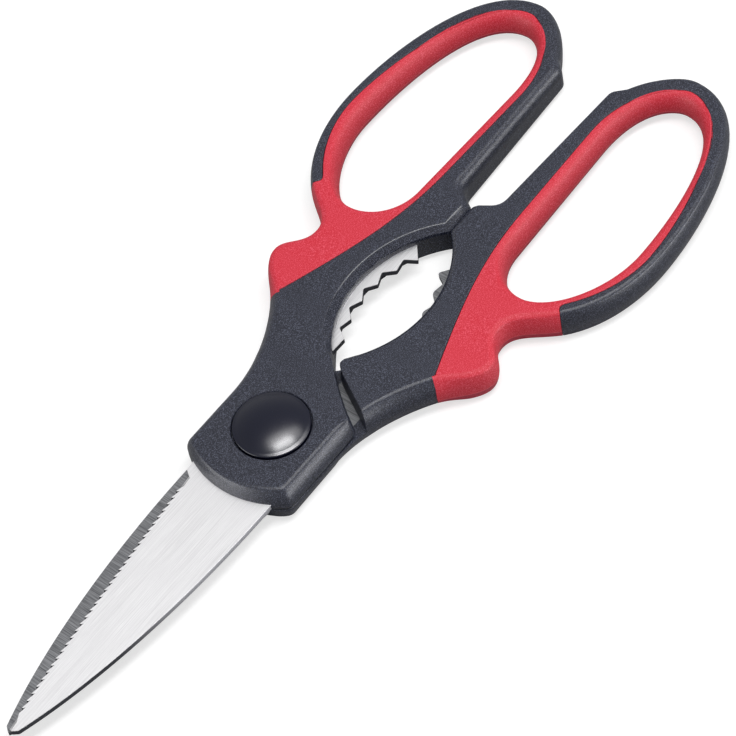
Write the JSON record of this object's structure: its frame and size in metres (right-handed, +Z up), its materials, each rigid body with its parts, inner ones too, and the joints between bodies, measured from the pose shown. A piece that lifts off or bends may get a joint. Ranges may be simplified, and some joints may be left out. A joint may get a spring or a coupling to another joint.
{
  "type": "household scissors",
  "caption": "Household scissors with tapered steel blades, hard handles with soft-lined finger loops, a domed pivot cover and a toothed oval between the handles for gripping caps.",
  "frame": {"origin": "on the pivot axis, at the flat underside that lies on the table", "axes": "+X along the length from the blade tips to the finger loops, +Z up along the pivot axis, +Y towards the front half's finger loop"},
  "size_m": [0.2101, 0.0874, 0.0119],
  "materials": {
    "blade_steel": "fine brushed along the blade",
    "handle_plastic": "fine spark-eroded grain",
    "grip_rubber": "soft matte grain",
    "cap_plastic": "polished",
    "pivot_steel": "plain turned"
  },
  "bodies": {
    "rear_half": {"rear_blade": "blade_steel", "rear_handle": "handle_plastic", "rear_grip": "grip_rubber", "back_cap": "cap_plastic", "pivot_bolt": "pivot_steel", "spring_washer": "pivot_steel", "pivot_nut": "pivot_steel"},
    "front_half": {"front_blade": "blade_steel", "front_handle": "handle_plastic", "front_grip": "grip_rubber", "dome_cap": "cap_plastic"}
  },
  "joints": [
    {"name": "pivot", "type": "hinge", "parent": "rear_half", "child": "front_half", "pos_m": [0, 0, 0.00465], "axis": [0, 0, 1], "range_deg": [0, 60]}
  ]
}
